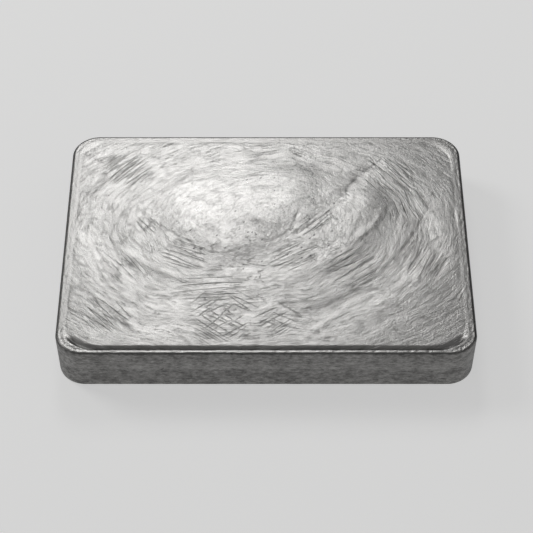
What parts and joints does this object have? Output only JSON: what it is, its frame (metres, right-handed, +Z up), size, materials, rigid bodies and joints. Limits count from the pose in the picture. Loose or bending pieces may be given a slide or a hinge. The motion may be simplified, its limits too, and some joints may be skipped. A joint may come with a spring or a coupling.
{
  "type": "silver bar",
  "caption": "Hand-poured rectangular silver bar with round corners, a thin raised rim and a rippled, wrinkled poured face.",
  "frame": {"origin": "on the floor under the middle of the bar's flat foot", "axes": "+X along the bar's length, +Y across it, +Z up out of the poured face"},
  "size_m": [0.07, 0.0522, 0.0085],
  "materials": {
    "cast_silver": "satin"
  },
  "bodies": {
    "root": {"silver_bar": "cast_silver"}
  },
  "joints": []
}
